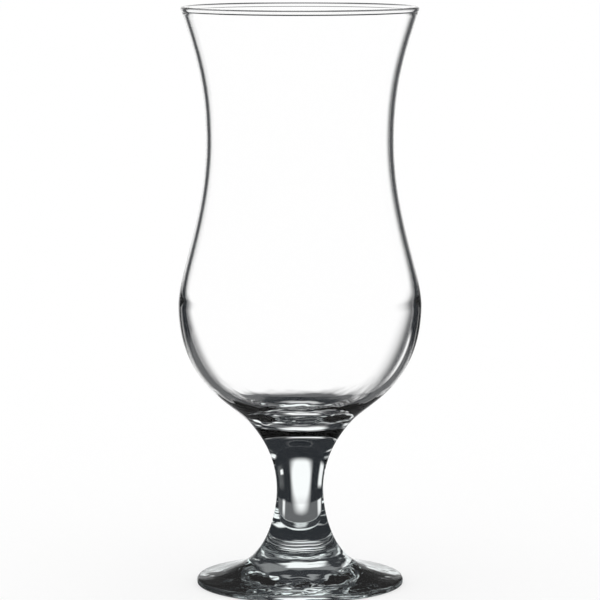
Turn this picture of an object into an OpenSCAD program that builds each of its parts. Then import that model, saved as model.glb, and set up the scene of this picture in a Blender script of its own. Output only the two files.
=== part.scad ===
// Hurricane glass: a tall blown bowl on a short pressed stem and a round pressed foot.
// The three pieces are fused face to face: the foot carries the stem, and the stem the bowl.
// Origin: centre of the ring that the foot stands on. +Z runs up the axis to the rim.

/* [Bowl] */
// Outside width at the rim
rim_d = 81.8; // [76:0.1:90]
// Outside width at the waist, the narrowest place of the wall
waist_d = 64.7; // [56:0.1:72]
// Outside width at the bulb, the widest place of the bowl
bulb_d = 84; // [76:0.1:96]
// Height of the bowl from its joint with the stem to the top of the rim
bowl_h = 143; // [130:0.5:160]
// Height of the waist above the joint
waist_h = 97; // [85:0.5:108]
// Height of the bulb's widest ring above the joint
bulb_h = 40.4; // [34:0.1:48]
// Wall just under the rim
rim_wall = 1.5; // [1.1:0.05:2.2]
// Wall at the waist
waist_wall = 1.45; // [1.1:0.05:2.4]
// Wall at the bulb
bulb_wall = 2.1; // [1.6:0.1:3.5]
// Glass under the middle of the inside
base_glass = 2.5; // [2:0.1:10]
// How far the inside's widest ring lies above the outside's
inner_bulb_rise = 2.6; // [0:0.1:5]
// Thickness of the fire-polished bead at the rim
bead_d = 1.9; // [1.4:0.05:3]
// Lean of the wall under the rim, in degrees from upright
rim_lean = 17.5; // [10:0.5:24]

/* [Stem] */
// Height of the stem from the foot's joint to the bowl's joint
stem_h = 44; // [36:0.5:60]
// Width at the joint with the bowl
neck_d = 36; // [30:0.1:42]
// Lean of the outline at the joint with the bowl, in degrees from upright
neck_lean = 41.5; // [32:0.5:50]
// Width at the narrowest place
stem_d = 16.2; // [12:0.1:20]
// Height of the narrowest place above the foot's joint
stem_narrow_h = 19.5; // [15:0.1:24]

/* [Foot] */
// Width of the foot
foot_d = 71.8; // [64:0.1:84]
// Height of the foot from the table to its joint with the stem
foot_h = 13; // [10:0.1:18]
// Width at the joint with the stem
ankle_d = 27; // [23:0.1:32]
// Lean of the outline at the joint with the stem, in degrees from upright
ankle_lean = 35; // [25:0.5:45]
// Height of the foot's edge
foot_edge_h = 2.4; // [1.9:0.1:3.6]
// Rounding of the edge's upper corner
edge_top_r = 1.4; // [0.8:0.1:1.8]
// Rounding of the edge's lower corner
edge_low_r = 0.6; // [0.3:0.1:0.9]
// Slope of the top face next to the edge, in degrees
foot_slope = 11; // [5:0.5:18]
// Width of the shallow hollow underneath
hollow_d = 52; // [44:0.5:62]
// Depth of the hollow in the middle
hollow_h = 1.2; // [0.6:0.1:3]

/* [Hidden] */
$fn = 128;
curve_steps = 14;
arc_steps = 6;
bead_steps = 14;
// How far a cut runs past the face that it opens
overrun = 1;

// Places of the two fused joints on the axis
ankle_z = foot_h;
neck_z = foot_h + stem_h;

// Handle lengths of the outline's curves, as shares of the height that each curve climbs
neck_up_share = 0.21;
bulb_down_share = 0.67;
bulb_up_share = 0.19;
waist_down_share = 0.455;
waist_up_share = 0.43;
rim_down_share = 0.36;
neck_down_share = 0.375;
stem_up_share = 0.41;
stem_down_share = 0.345;
ankle_up_share = 0.275;
// The same for the inside's wall where it leaves the bulb
inner_bulb_up_share = 0.16;
// The same for the rounded floor of the inside: along the floor, of its radius, and down the side
floor_share = 0.69;
side_share = 0.53;
// The same for the foot's top face, as shares of its run from the joint to the edge
ankle_out_share = 0.33;
edge_in_share = 0.71;
// Where the wall ends inside the bead, as a share of the bead's radius below its middle
wall_end_share = 0.9;
// How far the bead's round runs down past its own sides, in degrees
bead_wrap = 40;

// Directions in the section: up the outline at a lean from upright, and straight out from it
function up_at(lean) = [sin(lean), cos(lean)];
function out_at(lean) = [cos(lean), -sin(lean)];

// A smooth curve from a to d that leaves towards b and arrives from c
function curve(a, b, c, d) = [
    for (i = [0:curve_steps])
        let (t = i / curve_steps, s = 1 - t)
            s * s * s * a + 3 * s * s * t * b + 3 * s * t * t * c + t * t * t * d
];

function arc(centre, r, from, to, steps) = [
    for (i = [0:steps])
        let (angle = from + (to - from) * i / steps)
            centre + r * [cos(angle), sin(angle)]
];

// A wall face from the bulb to the waist, and from the waist to the rim
function wall_low(bulb, waist, leaving_share) =
    let (rise = waist[1] - bulb[1])
        curve(bulb, bulb + [0, leaving_share * rise], waist - [0, waist_down_share * rise], waist);

function wall_high(waist, top) =
    let (rise = top[1] - waist[1])
        curve(waist, waist + [0, waist_up_share * rise], top - rim_down_share * rise * up_at(rim_lean), top);

function backwards(points) = [for (i = [len(points) - 1:-1:0]) points[i]];

// Outside of the bowl, from the joint up to the bead
bead_middle = [rim_d / 2 - bead_d / 2, bowl_h - bead_d / 2];
wall_end = bead_middle - wall_end_share * bead_d / 2 * up_at(rim_lean);
outer_neck = [neck_d / 2, 0];
outer_bulb = [bulb_d / 2, bulb_h];
outer_waist = [waist_d / 2, waist_h];
outer_top = wall_end + rim_wall / 2 * out_at(rim_lean);
outer_base = curve(
    outer_neck,
    outer_neck + neck_up_share * bulb_h * up_at(neck_lean),
    outer_bulb - [0, bulb_down_share * bulb_h],
    outer_bulb
);

// Inside of the bowl, from the bead down to the middle of its floor
inner_top = wall_end - rim_wall / 2 * out_at(rim_lean);
inner_waist = [waist_d / 2 - waist_wall, waist_h];
inner_bulb = [bulb_d / 2 - bulb_wall, bulb_h + inner_bulb_rise];
inner_floor = [0, base_glass];
floor_rise = inner_bulb[1] - inner_floor[1];
inner_base = curve(
    inner_floor,
    inner_floor + [floor_share * inner_bulb[0], 0],
    inner_bulb - [0, side_share * floor_rise],
    inner_bulb
);

// Blown in a mould from a gather of clear glass, cut off and fire-polished to a bead at the rim
module bowl() {
    color([0.87, 0.91, 0.92, 0.4])
        translate([0, 0, neck_z])
            rotate_extrude()
                polygon(concat(
                    [[0, 0]],
                    outer_base,
                    wall_low(outer_bulb, outer_waist, bulb_up_share),
                    wall_high(outer_waist, outer_top),
                    arc(bead_middle, bead_d / 2, -rim_lean - bead_wrap, 180 - rim_lean + bead_wrap, bead_steps),
                    backwards(wall_high(inner_waist, inner_top)),
                    backwards(wall_low(inner_bulb, inner_waist, inner_bulb_up_share)),
                    backwards(inner_base)
                ));
}

// Solid pressed stem: flares up into the bowl and down into the foot
module stem() {
    low = [ankle_d / 2, 0];
    narrow = [stem_d / 2, stem_narrow_h];
    high = [neck_d / 2, stem_h];
    flare_h = stem_h - stem_narrow_h;
    color([0.82, 0.87, 0.89, 0.55])
        translate([0, 0, ankle_z])
            rotate_extrude()
                polygon(concat(
                    [[0, 0]],
                    curve(
                        low,
                        low + ankle_up_share * stem_narrow_h * up_at(-ankle_lean),
                        narrow - [0, stem_down_share * stem_narrow_h],
                        narrow
                    ),
                    curve(
                        narrow,
                        narrow + [0, stem_up_share * flare_h],
                        high - neck_down_share * flare_h * up_at(neck_lean),
                        high
                    ),
                    [[0, stem_h]]
                ));
}

// Hollow underneath the foot: the cap of a ball, from its middle out to the ring that stands
module hollow() {
    ball_r = (hollow_d * hollow_d / 4 + hollow_h * hollow_h) / (2 * hollow_h);
    half_angle = asin(hollow_d / 2 / ball_r);
    cap = arc([0, hollow_h - ball_r], ball_r, 90 - half_angle, 90, curve_steps);
    rotate_extrude()
        polygon(concat([[0, -overrun], [hollow_d / 2, -overrun]], cap));
}

// Solid pressed foot: a shallow round cone with a rounded edge
module foot() {
    ankle = [ankle_d / 2, foot_h];
    top_middle = [foot_d / 2 - edge_top_r, foot_edge_h - edge_top_r];
    low_middle = [foot_d / 2 - edge_low_r, edge_low_r];
    shoulder = top_middle + edge_top_r * up_at(foot_slope);
    run = shoulder[0] - ankle[0];
    color([0.82, 0.87, 0.89, 0.55])
        difference() {
            rotate_extrude()
                polygon(concat(
                    [[0, 0]],
                    arc(low_middle, edge_low_r, -90, 0, arc_steps),
                    arc(top_middle, edge_top_r, 0, 90 - foot_slope, arc_steps),
                    curve(
                        shoulder,
                        shoulder - edge_in_share * run * out_at(foot_slope),
                        ankle - ankle_out_share * run * up_at(-ankle_lean),
                        ankle
                    ),
                    [[0, foot_h]]
                ));
            hollow();
        }
}

bowl();
stem();
foot();
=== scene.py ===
import math

import bpy
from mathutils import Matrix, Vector


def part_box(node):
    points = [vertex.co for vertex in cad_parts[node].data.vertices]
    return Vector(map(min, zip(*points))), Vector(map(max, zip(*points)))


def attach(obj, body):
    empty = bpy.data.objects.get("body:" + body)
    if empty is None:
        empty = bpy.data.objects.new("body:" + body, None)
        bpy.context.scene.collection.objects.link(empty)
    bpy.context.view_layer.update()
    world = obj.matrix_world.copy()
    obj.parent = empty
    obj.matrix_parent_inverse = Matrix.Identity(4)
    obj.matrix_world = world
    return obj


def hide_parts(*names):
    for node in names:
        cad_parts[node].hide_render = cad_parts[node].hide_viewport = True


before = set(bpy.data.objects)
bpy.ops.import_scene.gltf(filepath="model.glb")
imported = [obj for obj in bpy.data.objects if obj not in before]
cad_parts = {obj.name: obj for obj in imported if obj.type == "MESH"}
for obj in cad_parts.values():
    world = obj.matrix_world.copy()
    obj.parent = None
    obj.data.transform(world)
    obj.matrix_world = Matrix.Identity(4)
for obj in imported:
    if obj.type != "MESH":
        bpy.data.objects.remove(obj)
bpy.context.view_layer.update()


# Foot
# The round base that the glass stands on: clear soda-lime glass, pressed hot into an iron mould with
# a shallow hollow underneath, so that only an outer ring touches the table. Its edge was then rounded
# by flame, and its raised middle was fused to the stem while both were hot.

# The pieces' sizes are in millimetres, from the axis out and from each piece's own base up, and their
# leans are in degrees from upright. The foot's slope is in degrees from level.
MM = 0.001

foot_low, foot_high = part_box("foot")
foot_r = (foot_high.y - foot_low.y) / 2 / MM
foot_h = (foot_high.z - foot_low.z) / MM
ankle_r = 13.5
ankle_lean = 35.0
edge_h = 2.4
edge_top_r = 1.4
edge_low_r = 0.6
foot_slope = 11.0
hollow_r = 26.0
hollow_h = 1.2

# Handle lengths of the top face's curve, as shares of its run from the edge to the ankle
edge_in_share = 0.71
ankle_out_share = 0.33

# How finely the pieces are turned: faces round the axis, and steps along a curve and round an edge.
# Corners sharper than this angle stay crisp.
sides = 256
curve_steps = 48
edge_steps = 10
crisp_angle = 35.0

# Points nearer to each other than this are one point, and nearer to the axis than this are on it
same_point = 1e-5
on_axis = 1e-6


def lean_up(degrees):
    """The direction up along an outline that leans out from upright by this angle."""
    return Vector((math.sin(math.radians(degrees)), math.cos(math.radians(degrees))))


def lean_out(degrees):
    """The direction straight out from an outline that leans by this angle."""
    return Vector((math.cos(math.radians(degrees)), -math.sin(math.radians(degrees))))


def sweep(start, leave, arrive, end):
    """Points of a smooth stretch of outline that leaves towards one point and arrives from another."""
    points = []
    for i in range(curve_steps + 1):
        t = i / curve_steps
        s = 1 - t
        points.append(s ** 3 * start + 3 * s * s * t * leave + 3 * s * t * t * arrive + t ** 3 * end)
    return points


def round_over(middle, radius, first, last, steps):
    """Points of a round stretch of outline, from one angle in degrees to another."""
    points = []
    for i in range(steps + 1):
        angle = math.radians(first + (last - first) * i / steps)
        points.append(middle + radius * Vector((math.cos(angle), math.sin(angle))))
    return points


def turned_glass(name, stretches, base_z):
    """A closed solid turned about the glass's axis. A stretch is (points, number of its finish)."""
    outline, finishes = [], []
    for points, finish in stretches:
        for point in points:
            if not outline or (point - outline[-1]).length > same_point:
                outline.append(point)
                finishes.append(finish)
    corners, rings = [], []
    for point in outline:
        z = (base_z + point.y) * MM
        if point.x < on_axis:
            rings.append([len(corners)] * sides)
            corners.append((0, 0, z))
            continue
        rings.append(range(len(corners), len(corners) + sides))
        for side in range(sides):
            turn = 2 * math.pi * side / sides
            corners.append((point.x * math.cos(turn) * MM, point.x * math.sin(turn) * MM, z))
    faces, face_finishes = [], []
    for ring, next_ring, finish in zip(rings, rings[1:], finishes[1:]):
        for side in range(sides):
            after = (side + 1) % sides
            face = (ring[side], ring[after], next_ring[after], next_ring[side])
            # Next to the axis two of the four corners are one, and the face has three
            faces.append(list(dict.fromkeys(face)))
            face_finishes.append(finish)
    mesh = bpy.data.meshes.new(name)
    mesh.from_pydata(corners, [], faces)
    mesh.polygons.foreach_set("material_index", face_finishes)
    mesh.polygons.foreach_set("use_smooth", [True] * len(faces))
    mesh.set_sharp_from_angle(angle=math.radians(crisp_angle))
    mesh.update()
    piece = bpy.data.objects.new(name, mesh)
    bpy.context.scene.collection.objects.link(piece)
    return piece


# Each piece has two finishes: its open glass, and the face where it is fused to its neighbour
SKIN, SEAM = 0, 1

up = Vector((0, 1))
ball_r = (hollow_r ** 2 + hollow_h ** 2) / (2 * hollow_h)
ball_reach = math.degrees(math.asin(hollow_r / ball_r))
ankle = Vector((ankle_r, foot_h))
edge_top = Vector((foot_r - edge_top_r, edge_h - edge_top_r))
edge_low = Vector((foot_r - edge_low_r, edge_low_r))
shoulder = edge_top + edge_top_r * lean_up(foot_slope)
top_run = shoulder.x - ankle_r

foot = turned_glass("glass_foot", [
    (round_over(Vector((0, hollow_h - ball_r)), ball_r, 90, 90 - ball_reach, curve_steps), SKIN),
    (round_over(edge_low, edge_low_r, -90, 0, edge_steps), SKIN),
    (round_over(edge_top, edge_top_r, 0, 90 - foot_slope, edge_steps), SKIN),
    (sweep(shoulder, shoulder - edge_in_share * top_run * lean_out(foot_slope),
           ankle - ankle_out_share * top_run * lean_up(-ankle_lean), ankle), SKIN),
    ([ankle, Vector((0, foot_h))], SEAM),
], foot_low.z / MM)


def linear(hex_colour):
    """An sRGB hex colour as the linear colour that the shaders take."""
    parts = [int(hex_colour[i:i + 2], 16) / 255 for i in (1, 3, 5)]
    return [c / 12.92 if c <= 0.04045 else ((c + 0.055) / 1.055) ** 2.4 for c in parts] + [1.0]


def add(tree, kind, inputs=None, **settings):
    """Adds one node with its settings. Each input is given a value or another node's output."""
    made = tree.nodes.new(kind)
    for name, value in settings.items():
        setattr(made, name, value)
    for name, value in (inputs or {}).items():
        if isinstance(value, bpy.types.NodeSocket):
            tree.links.new(value, made.inputs[name])
        else:
            made.inputs[name].default_value = value
    return made


glass_ior = 1.52
# The white of a diffuse layer on the glass: partly a trace of dust, partly painted light that lifts
# the darks and paints a glow on the edges
dust_and_glow_white = "#FFFFFF"
# The waves that pressing and blowing leave are about this far apart
wave_mm = 8.0
# Shares of light that a face throws back, which grow from near 0 straight on to 1 along it: where the
# mirroring and the thicker white layer start, and where they are full. The thicker white layer on a
# face that turns away is painted light, a glow along the glass's edges.
mirror_from, mirror_full = 0.2, 1.0
edge_glow_from, edge_glow_full = 0.1, 0.6


def soda_lime_glass(name, tone, roughness, wave_high, dust_and_lift, dust_and_edge_glow):
    """Clear soda-lime glass with the faint waves that its making left in the skin.

    The eye gets no colour on a face, dark lines where the glass turns away, and bright bent
    pictures of the surroundings in the thick places, a little uneven because of the waves. The
    mirroring starts only where a face turns away. A white diffuse layer on the outside, partly a
    trace of dust and partly painted light, lifts the darks from black, and it is thicker where a face
    turns away, where it paints a glow on the edge. The roughness, the waves' height in mm, and the
    white layer's share on a face and where it turns away are each one value, or change up the glass:
    (height in mm, value up to there, height in mm, value from there on)."""
    material = bpy.data.materials.new(name)
    material.use_nodes = True
    tree = material.node_tree
    tree.nodes.clear()
    place = add(tree, "ShaderNodeTexCoord")
    height = add(tree, "ShaderNodeSeparateXYZ", {"Vector": place.outputs["Object"]})
    given = {"roughness": roughness, "wave_high": wave_high, "dust_and_lift": dust_and_lift, "dust_and_edge_glow": dust_and_edge_glow}
    for quality, value in given.items():
        if isinstance(value, tuple):
            low, first, high, last = value
            change = add(tree, "ShaderNodeMapRange",
                         {"Value": height.outputs["Z"], "From Min": low * MM, "From Max": high * MM,
                          "To Min": first, "To Max": last})
            given[quality] = change.outputs["Result"]
    waves = add(tree, "ShaderNodeTexNoise",
                {"Vector": place.outputs["Object"], "Scale": 1 / (wave_mm * MM), "Detail": 1.5,
                 "Roughness": 0.4})
    raised = add(tree, "ShaderNodeMath", {0: waves.outputs["Fac"], 1: given["wave_high"]},
                 operation="MULTIPLY")
    skin = add(tree, "ShaderNodeBump", {"Height": raised.outputs[0], "Distance": MM})
    normal = {"Normal": skin.outputs["Normal"]}
    surface = {"Color": linear(tone), "Roughness": given["roughness"], **normal}
    bent = add(tree, "ShaderNodeBsdfRefraction", {"IOR": glass_ior, **surface})
    mirrored = add(tree, "ShaderNodeBsdfAnisotropic", surface)
    angle = add(tree, "ShaderNodeFresnel", {"IOR": glass_ior, **normal})
    steep = add(tree, "ShaderNodeMapRange",
                {"Value": angle.outputs["Fac"], "From Min": mirror_from, "From Max": mirror_full})
    clear = add(tree, "ShaderNodeMixShader", {0: steep.outputs["Result"], 1: bent.outputs["BSDF"],
                                              2: mirrored.outputs["BSDF"]})
    # A white diffuse layer on the outside faces only, partly dust and partly painted light: it lifts
    # the darks from black, and where a face turns away it is thicker, a painted glow on the edge
    dust_and_glow = add(tree, "ShaderNodeBsdfDiffuse", {"Color": linear(dust_and_glow_white), **normal})
    dust_and_glow_share = add(tree, "ShaderNodeMapRange",
                    {"Value": angle.outputs["Fac"], "From Min": edge_glow_from, "From Max": edge_glow_full,
                     "To Min": given["dust_and_lift"], "To Max": given["dust_and_edge_glow"]})
    face = add(tree, "ShaderNodeNewGeometry")
    outside = add(tree, "ShaderNodeMapRange",
                  {"Value": face.outputs["Backfacing"], "To Min": dust_and_glow_share.outputs["Result"],
                   "To Max": 0.0})
    glass = add(tree, "ShaderNodeMixShader", {0: outside.outputs["Result"],
                                              1: clear.outputs["Shader"], 2: dust_and_glow.outputs["BSDF"]})
    add(tree, "ShaderNodeOutputMaterial", {"Surface": glass.outputs["Shader"]})
    return material


def fused_seam():
    """Where two pieces have melted into one, light passes straight on and nothing shows."""
    material = bpy.data.materials.new("fused_seam")
    material.use_nodes = True
    tree = material.node_tree
    tree.nodes.clear()
    clear = add(tree, "ShaderNodeBsdfTransparent")
    add(tree, "ShaderNodeOutputMaterial", {"Surface": clear.outputs["BSDF"]})
    return material


# The foot keeps the mould's waves. The stem was polished in the flame, and is smooth.
# Low in the foot the white layer is thicker: painted light that lifts the foot's darks from black
pressed_glass = soda_lime_glass("pressed_soda_lime_glass", "#FCFEFE", roughness=0.0,
                                wave_high=(9, 0.4, 20, 0.015), dust_and_lift=(9, 0.025, 20, 0.01),
                                dust_and_edge_glow=(9, 0.03, 20, 0.02))
seam = fused_seam()

foot.data.materials.append(pressed_glass)
foot.data.materials.append(seam)
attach(foot, "root")
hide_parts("foot")


# Stem
# Solid pressed soda-lime glass, narrow in the middle and flared at both ends, fire-polished so that
# the mould's seam lines are gone. It is fused to the foot below and carries the bowl above.

stem_low, stem_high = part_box("stem")
stem_h = (stem_high.z - stem_low.z) / MM
neck_r = (stem_high.y - stem_low.y) / 2 / MM
neck_lean = 41.5
stem_r = 8.1
narrow_h = 19.5

# Handle lengths of the outline's curves, as shares of the height that each curve climbs
ankle_up_share = 0.275
narrow_down_share = 0.345
narrow_up_share = 0.41
neck_down_share = 0.375

flare_h = stem_h - narrow_h
stem_foot = Vector((ankle_r, 0))
narrow = Vector((stem_r, narrow_h))
neck = Vector((neck_r, stem_h))

stem = turned_glass("glass_stem", [
    ([Vector((0, 0)), stem_foot], SEAM),
    (sweep(stem_foot, stem_foot + ankle_up_share * narrow_h * lean_up(-ankle_lean),
           narrow - narrow_down_share * narrow_h * up, narrow), SKIN),
    (sweep(narrow, narrow + narrow_up_share * flare_h * up,
           neck - neck_down_share * flare_h * lean_up(neck_lean), neck), SKIN),
    ([neck, Vector((0, stem_h))], SEAM),
], stem_low.z / MM)

stem.data.materials.append(pressed_glass)
stem.data.materials.append(seam)
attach(stem, "root")
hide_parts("stem")


# Bowl
# Blown soda-lime glass: a flared mouth, a narrow waist and a round bulb. The wall is thin at the mouth
# and runs down into a thicker floor that was fused to the stem. The rim was cut off hot and then
# melted smooth in a flame, which drew it up into a small round bead.

bowl_low, bowl_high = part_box("bowl")
bowl_h = (bowl_high.z - bowl_low.z) / MM
bulb_r = (bowl_high.y - bowl_low.y) / 2 / MM
bulb_h = 40.4
waist_r = 32.35
waist_h = 97.0
rim_r = 40.9
rim_lean = 17.5
rim_wall = 1.5
waist_wall = 1.45
bulb_wall = 2.1
base_glass = 2.5
inner_bulb_rise = 2.6
bead_r = 0.95
bead_wrap = 40.0
bead_steps = 24

# Handle lengths of the outside's and the inside's curves, as shares of the height that each climbs.
# Along the floor it is a share of the floor's radius.
neck_up_share = 0.21
bulb_down_share = 0.67
bulb_up_share = 0.19
inner_bulb_up_share = 0.16
waist_down_share = 0.455
waist_up_share = 0.43
rim_down_share = 0.36
floor_share = 0.69
side_share = 0.53
# Where the wall ends inside the bead, as a share of the bead's radius below its middle
wall_end_share = 0.9


def wall_face(bulb, waist, top, leaving_share):
    """One face of the bowl's wall: from the bulb in to the waist, and out again to the rim."""
    low = waist.y - bulb.y
    high = top.y - waist.y
    return (sweep(bulb, bulb + leaving_share * low * up, waist - waist_down_share * low * up, waist)
            + sweep(waist, waist + waist_up_share * high * up,
                    top - rim_down_share * high * lean_up(rim_lean), top))


bead = Vector((rim_r - bead_r, bowl_h - bead_r))
wall_end = bead - wall_end_share * bead_r * lean_up(rim_lean)
half_wall = rim_wall / 2 * lean_out(rim_lean)
outer_neck = Vector((neck_r, 0))
outer_bulb = Vector((bulb_r, bulb_h))
outer_waist = Vector((waist_r, waist_h))
inner_waist = Vector((waist_r - waist_wall, waist_h))
inner_bulb = Vector((bulb_r - bulb_wall, bulb_h + inner_bulb_rise))
inner_floor = Vector((0, base_glass))
floor_rise = inner_bulb.y - inner_floor.y

bowl = turned_glass("glass_bowl", [
    ([Vector((0, 0)), outer_neck], SEAM),
    (sweep(outer_neck, outer_neck + neck_up_share * bulb_h * lean_up(neck_lean),
           outer_bulb - bulb_down_share * bulb_h * up, outer_bulb), SKIN),
    (wall_face(outer_bulb, outer_waist, wall_end + half_wall, bulb_up_share), SKIN),
    (round_over(bead, bead_r, -rim_lean - bead_wrap, 180 - rim_lean + bead_wrap, bead_steps), SKIN),
    (wall_face(inner_bulb, inner_waist, wall_end - half_wall, inner_bulb_up_share)[::-1], SKIN),
    (sweep(inner_bulb, inner_bulb - side_share * floor_rise * up,
           inner_floor + Vector((floor_share * inner_bulb.x, 0)), inner_floor), SKIN),
], bowl_low.z / MM)

# The blown skin is a trace less smooth than the rim, which the flame melted. Where the bowl was fused
# to the stem it has the same waves as the foot, and the wall above is even.
# The white layer is thicker at the base, painted light that lifts its darks. Where the wall turns away
# it grows from 98 to 118 mm up and is a fifth of the surface above: a painted glow on the edges.
blown_glass = soda_lime_glass("blown_soda_lime_glass", "#FFFFFF", roughness=(197.6, 0.02, 198, 0.0),
                              wave_high=(60, 0.4, 70, 0.005), dust_and_lift=(62, 0.025, 70, 0.01),
                              dust_and_edge_glow=(98, 0.03, 118, 0.2))
bowl.data.materials.append(blown_glass)
bowl.data.materials.append(seam)
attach(bowl, "root")
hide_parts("bowl")


# Table
# A wide white table, painted and matt, that runs on past the view and takes the glass's soft shadow.
# Looks through the glass and off it miss the table, and meet the studio in its place.

# In metres: half the table's width, and the gap that keeps it clear of the ring under the foot
table_half = 60.0
table_gap = 0.0001
paint_white = "#FFFFFF"
# Share of the table that the eye gets as plain white, over the paint with its shadow
plain_share = 0.6

table_mesh = bpy.data.meshes.new("table")
table_mesh.from_pydata([(x * table_half, y * table_half, -table_gap) for x, y in
                        ((-1, -1), (1, -1), (1, 1), (-1, 1))], [], [(0, 1, 2, 3)])
table = bpy.data.objects.new("table", table_mesh)
bpy.context.scene.collection.objects.link(table)
table.visible_transmission = False
table.visible_glossy = False

matt_white_paint = bpy.data.materials.new("matt_white_paint")
matt_white_paint.use_nodes = True
coat = matt_white_paint.node_tree
coat.nodes.clear()
paint = add(coat, "ShaderNodeBsdfDiffuse", {"Color": linear(paint_white)})
plain = add(coat, "ShaderNodeEmission", {"Color": linear(paint_white), "Strength": 1.0})
to_eye = add(coat, "ShaderNodeLightPath")
share = add(coat, "ShaderNodeMath", {0: to_eye.outputs["Is Camera Ray"], 1: plain_share},
            operation="MULTIPLY")
board = add(coat, "ShaderNodeMixShader", {0: share.outputs[0], 1: paint.outputs["BSDF"],
                                          2: plain.outputs["Emission"]})
add(coat, "ShaderNodeOutputMaterial", {"Surface": board.outputs["Shader"]})
table_mesh.materials.append(matt_white_paint)


# Studio
# Plain white light from all round. What the glass bends and mirrors is a ring of white cards with dark
# cloth between them, the usual way to light glass, so that its edges and thick places draw in dark.

card_white = "#FFFFFF"
cloth_dark = "#26292D"

# Everything below is in degrees, but for brightness. A lamp's window is its direction from the back,
# the heights where it starts and where it is full, the height of its widest place, how far above and
# below that its full light reaches, and its brightness.
windows = [
    (-2, -30, -20, -1, 20, 1.0),
    (-90, -30, -20, -1, 20, 1.0),
    (135, -42, -30, -16, 30, 1.0),
    (90, -30, -20, -1, 20, 0.25),
    (180, -30, -20, -1, 20, 0.4),
    (-135, -30, -20, -1, 20, 0.4),
]
# Half the width of a window's full light at the widest place, half the width where it has ended, and
# the heights where its top starts to end and has ended
window_full = 12.5
window_ended = 20.5
window_top = (12, 20)

# A card is its direction from the back, half the width that is full, half the width where it has
# ended, the heights where it starts, is full, starts to end and has ended, and its brightness
cards = [
    (-48, 5, 13, -10, -4, 13, 22, 0.95),
    (-48, 4, 14, -42, -27, -20, -18.5, 0.9),
    (34, 1.5, 6.5, -38, -25, -20, -17, 0.9),
    (42, 4, 14, -12, -5, 10, 16, 0.08),
    (36, 2, 7, 2, 4, 7, 9, 1.0),
    (-2, 6, 18, -60, -54, -50, -45, 0.65),
    (0, 55, 75, -42, -33, -20, -18, 0.11),
]
# Grey cards high up behind the glass, for mirrored looks alone
overhead = [
    (0, 30, 50, 12, 19, 26, 33, 0.2),
    (0, 25, 45, 46, 49, 52, 56, 0.25),
]
# White, as the table and the room are, for looks that no face has mirrored: straight down through any
# glass, below the horizon where only one wall of the bowl is crossed, and where both are crossed, but
# for a gap low at the back
through_glass = [(0, 180, 181, -100, -95, -70, -62, 1.0)]
through_one_wall = [(0, 180, 181, -100, -95, -28, -20, 1.0)]
through_walls = [
    (180, 140, 152, -100, -95, -28, -20, 1.0),
    (180, 95, 110, -100, -95, 30, 40, 1.0),
    (45, 8, 18, -100, -95, 12, 20, 1.0),
    (-45, 8, 18, -100, -95, 12, 20, 1.0),
]
# The far edge of the table: a faint band all round, whose last figure is the share of light it takes
table_edge = (0, 180, 181, -19.6, -18.9, -18.9, -12, 0.14)

world = bpy.data.worlds.new("studio")
bpy.context.scene.world = world
world.use_nodes = True
studio = world.node_tree
studio.nodes.clear()

look = add(studio, "ShaderNodeTexCoord")
axes = add(studio, "ShaderNodeSeparateXYZ", {"Vector": look.outputs["Generated"]})
turn = add(studio, "ShaderNodeMath", {0: axes.outputs["X"], 1: axes.outputs["Y"]}, operation="ARCTAN2")
rise = add(studio, "ShaderNodeMath", {0: axes.outputs["Z"]}, operation="ARCSINE")
turned, raised = [add(studio, "ShaderNodeMath", {0: angle.outputs[0]}, operation="DEGREES").outputs[0]
                  for angle in (turn, rise)]


def card_light(towards, half_full, half_ended, start, full, fade, end, brightness):
    """The light that one card gives in the direction of a look, soft at its sides, foot and top."""
    off = add(studio, "ShaderNodeMath", {0: turned, 1: towards}, operation="SUBTRACT")
    off = add(studio, "ShaderNodeMath", {0: off.outputs[0], 1: 180.0, 2: -180.0}, operation="WRAP")
    aside = add(studio, "ShaderNodeMath", {0: off.outputs[0]}, operation="ABSOLUTE")
    edges = [(aside.outputs[0], half_full, half_ended, brightness, 0.0),
             (raised, start, full, 0.0, 1.0),
             (raised, fade, end, 1.0, 0.0)]
    steps = [add(studio, "ShaderNodeMapRange",
                 {"Value": value, "From Min": low, "From Max": high, "To Min": first, "To Max": last},
                 interpolation_type="SMOOTHSTEP").outputs["Result"]
             for value, low, high, first, last in edges]
    upright = add(studio, "ShaderNodeMath", {0: steps[1], 1: steps[2]}, operation="MULTIPLY")
    return add(studio, "ShaderNodeMath", {0: steps[0], 1: upright.outputs[0]},
               operation="MULTIPLY").outputs[0]


lights = []
for towards, start, full, widest, reach, brightness in windows:
    away = add(studio, "ShaderNodeMath", {0: raised, 1: widest}, operation="SUBTRACT")
    away = add(studio, "ShaderNodeMath", {0: away.outputs[0], 1: reach}, operation="DIVIDE")
    bow = add(studio, "ShaderNodeMath", {0: away.outputs[0], 1: away.outputs[0], 2: -1.0},
              operation="MULTIPLY_ADD")
    flat = add(studio, "ShaderNodeMath", {0: bow.outputs[0], 1: -window_full}, operation="MULTIPLY")
    flat = add(studio, "ShaderNodeMath", {0: flat.outputs[0], 1: 0.0}, operation="MAXIMUM")
    lights.append(card_light(towards, flat.outputs[0], window_ended, start, full, *window_top,
                             brightness))

# How a look got here. It came last through the bowl's wall if it isn't quite sharp, because only the
# blown skin is a trace rough. Crossing one wall bends it twice, and crossing both bends it four times.
path = add(studio, "ShaderNodeLightPath")
mirrored = add(studio, "ShaderNodeMath", {0: path.outputs["Glossy Depth"], 1: 0.5},
               operation="GREATER_THAN").outputs[0]
unmirrored = add(studio, "ShaderNodeMath", {0: 1.0, 1: mirrored}, operation="SUBTRACT").outputs[0]
from_wall = add(studio, "ShaderNodeMath", {0: unmirrored, 1: path.outputs["Is Singular Ray"]},
                operation="GREATER_THAN").outputs[0]
few_bends = add(studio, "ShaderNodeMath", {0: path.outputs["Transmission Depth"], 1: 3.0},
                operation="LESS_THAN").outputs[0]
one_wall = add(studio, "ShaderNodeMath", {0: from_wall, 1: few_bends}, operation="MULTIPLY").outputs[0]

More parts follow.
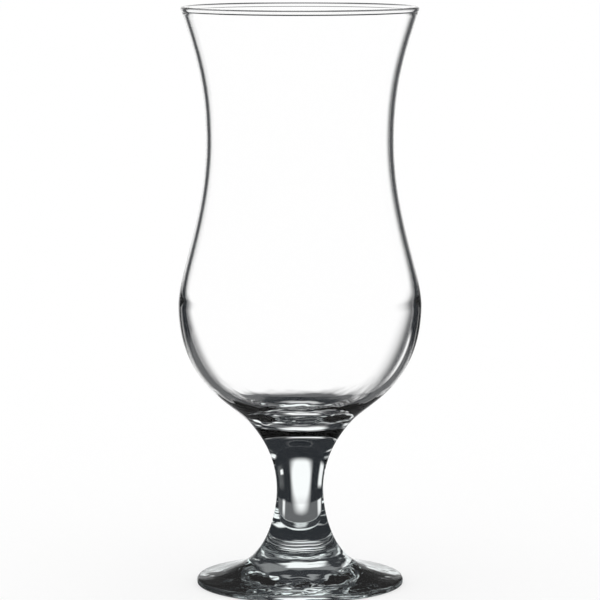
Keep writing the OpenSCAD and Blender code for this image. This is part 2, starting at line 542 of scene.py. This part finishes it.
for card in cards:
    lights.append(card_light(*card))
for group, looks in ((overhead, mirrored), (through_glass, unmirrored), (through_one_wall, one_wall),
                     (through_walls, from_wall)):
    for card in group:
        shown = add(studio, "ShaderNodeMath", {0: card_light(*card), 1: looks}, operation="MULTIPLY")
        lights.append(shown.outputs[0])
pattern = lights[0]
for other in lights[1:]:
    pattern = add(studio, "ShaderNodeMath", {0: pattern, 1: other}, operation="MAXIMUM").outputs[0]

# Looks that come last through the bowl's wall don't find the table's edge, and all others do
not_from_wall = add(studio, "ShaderNodeMath", {0: 1.0, 1: from_wall}, operation="SUBTRACT")
taken = add(studio, "ShaderNodeMath", {0: card_light(*table_edge), 1: not_from_wall.outputs[0]},
            operation="MULTIPLY")
kept = add(studio, "ShaderNodeMath", {0: 1.0, 1: taken.outputs[0]}, operation="SUBTRACT")
pattern = add(studio, "ShaderNodeMath", {0: pattern, 1: kept.outputs[0]}, operation="MULTIPLY")

# Looks through the glass and off it meet the cloth and the cards, and all others meet plain white.
# A colour mix has its two colours on the sockets 6 and 7, and its result on 2.
cloth_and_cards = add(studio, "ShaderNodeMix",
                      {0: pattern.outputs[0], 6: linear(cloth_dark), 7: linear(card_white)},
                      data_type="RGBA")
seen = add(studio, "ShaderNodeMix",
           {0: path.outputs["Is Glossy Ray"], 6: linear(card_white), 7: cloth_and_cards.outputs[2]},
           data_type="RGBA")
light = add(studio, "ShaderNodeBackground", {"Color": seen.outputs[2], "Strength": 1.0})
add(studio, "ShaderNodeOutputWorld", {"Surface": light.outputs["Background"]})


# Camera
# Stands 1.17 m from the glass's axis, a little above the rim, and looks slightly down. Its long lens
# fills the frame with the glass from its foot to its rim.

# In metres and degrees, and the lens's length in pixels of the frame
camera_away = 1.170
camera_up = 0.24196
camera_dip = 6.97
focal_px = 3415.0
frame_px = 600
sensor_mm = 36.0
nearest = 0.01
farthest = 200.0

camera_data = bpy.data.cameras.new("camera")
camera_data.sensor_width = sensor_mm
camera_data.lens = focal_px / frame_px * sensor_mm
camera_data.clip_start = nearest
camera_data.clip_end = farthest
camera = bpy.data.objects.new("camera", camera_data)
bpy.context.scene.collection.objects.link(camera)
camera.location = (0, -camera_away, camera_up)
camera.rotation_euler = (math.radians(90 - camera_dip), 0, 0)
bpy.context.scene.camera = camera
bpy.context.scene.view_settings.view_transform = "Standard"
